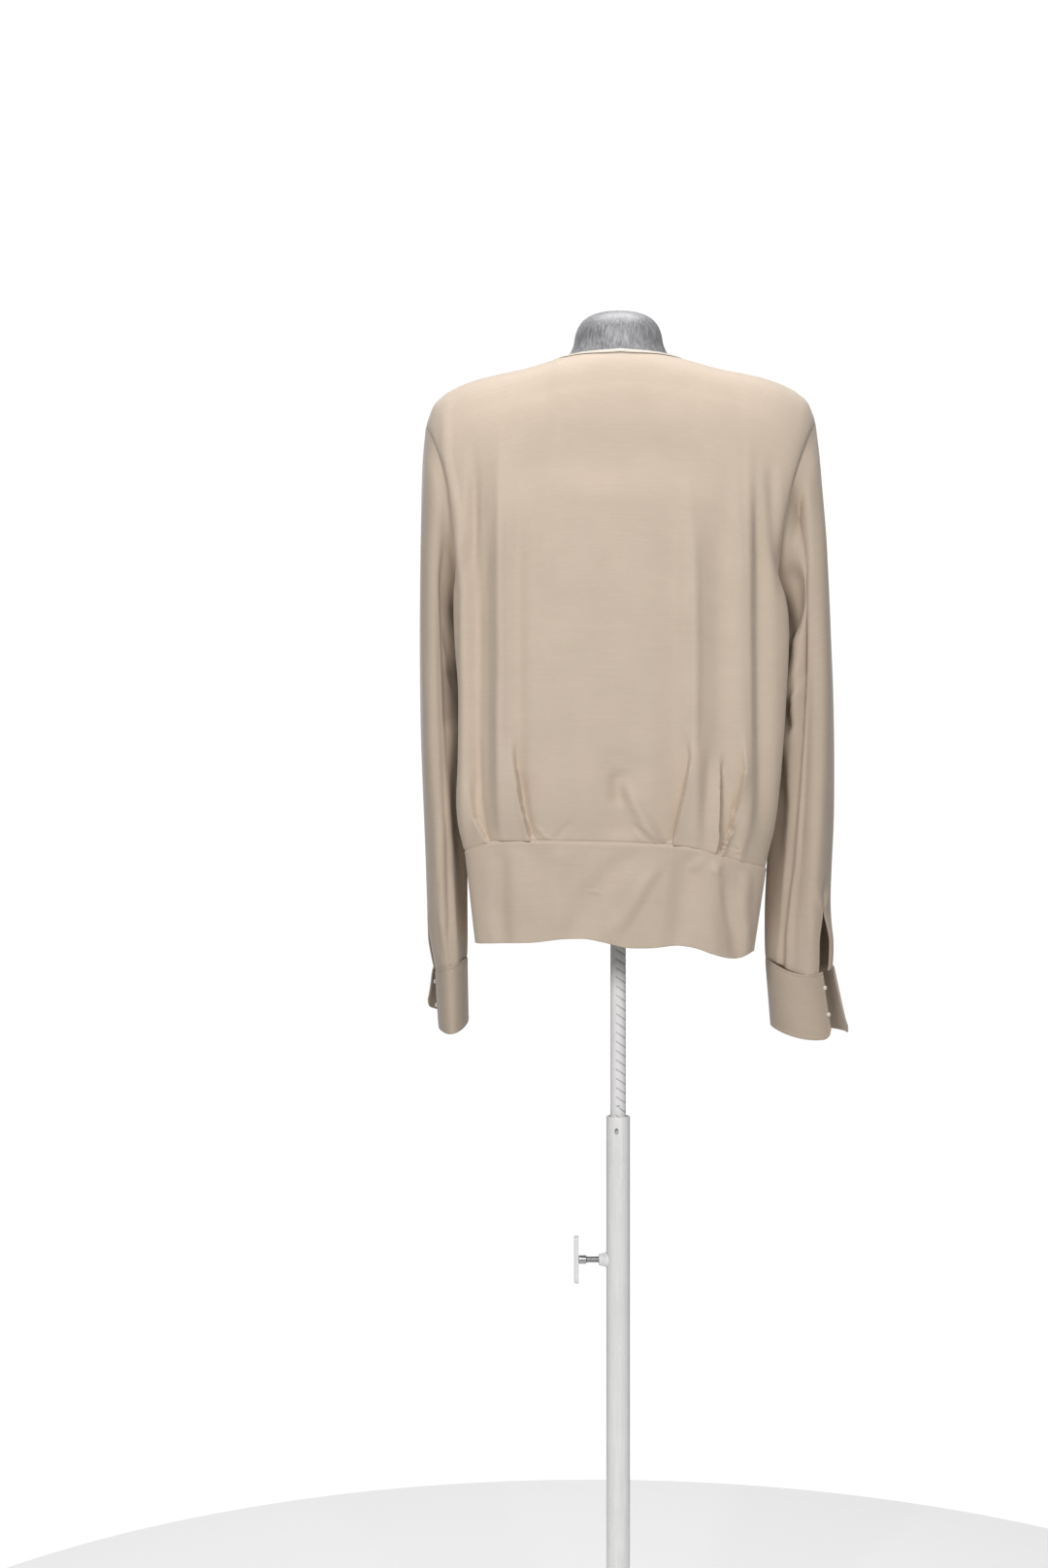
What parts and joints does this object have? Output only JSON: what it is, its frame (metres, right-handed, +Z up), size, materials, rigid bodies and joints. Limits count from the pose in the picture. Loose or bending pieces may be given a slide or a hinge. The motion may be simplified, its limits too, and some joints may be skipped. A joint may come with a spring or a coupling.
{
  "type": "long-sleeved blouse on a limbless dress form with an adjustable stand",
  "caption": "Long-sleeved beige blouse with a deep waistband and open cuffs, worn by a limbless silver-grey dress form on a height-adjustable pole stand with a round base.",
  "frame": {"origin": "on the floor, at the middle of the base plate's underside, on the pole's axis", "axes": "+Z up the pole; -Y is the wearer's front, so +Y is the back that the picture shows; +X is the wearer's left"},
  "size_m": [0.4396, 0.336, 1.485],
  "materials": {
    "cloth": "beige crepe, semi-matt with a soft sheen",
    "binding": "cream bias binding, semi-matt",
    "button": "pearly, glossy",
    "form": "smooth silver-grey cover with fine upright streaks",
    "paint": "pale grey-white paint, satin",
    "steel": "satin"
  },
  "bodies": {
    "stand": {"base_plate": "paint", "stand_tube": "paint", "clamp_boss": "paint"},
    "mast": {"mast": "paint"},
    "figure": {"form_body": "form", "form_socket": "steel", "back": "cloth", "front": "cloth", "sleeve_left": "cloth", "sleeve_right": "cloth", "cuff_left": "cloth", "cuff_right": "cloth", "waistband_back": "cloth", "waistband_front": "cloth", "neck_binding": "binding", "cuff_button_left_1": "button", "cuff_button_left_2": "button", "cuff_button_right_1": "button", "cuff_button_right_2": "button"},
    "clamp": {"clamp_screw": "steel", "clamp_bar": "paint"}
  },
  "joints": [
    {"name": "mast_height", "type": "slide", "parent": "stand", "child": "mast", "axis": [0, 0, 1], "range_m": [-0.25, 0.12]},
    {"name": "form_swivel", "type": "hinge", "parent": "mast", "child": "figure", "pos_m": [0, 0, 0.93], "axis": [0, 0, 1], "continuous": true},
    {"name": "clamp_turn", "type": "hinge", "parent": "stand", "child": "clamp", "pos_m": [0, 0, 0.51], "axis": [1, 0, 0], "continuous": true}
  ]
}
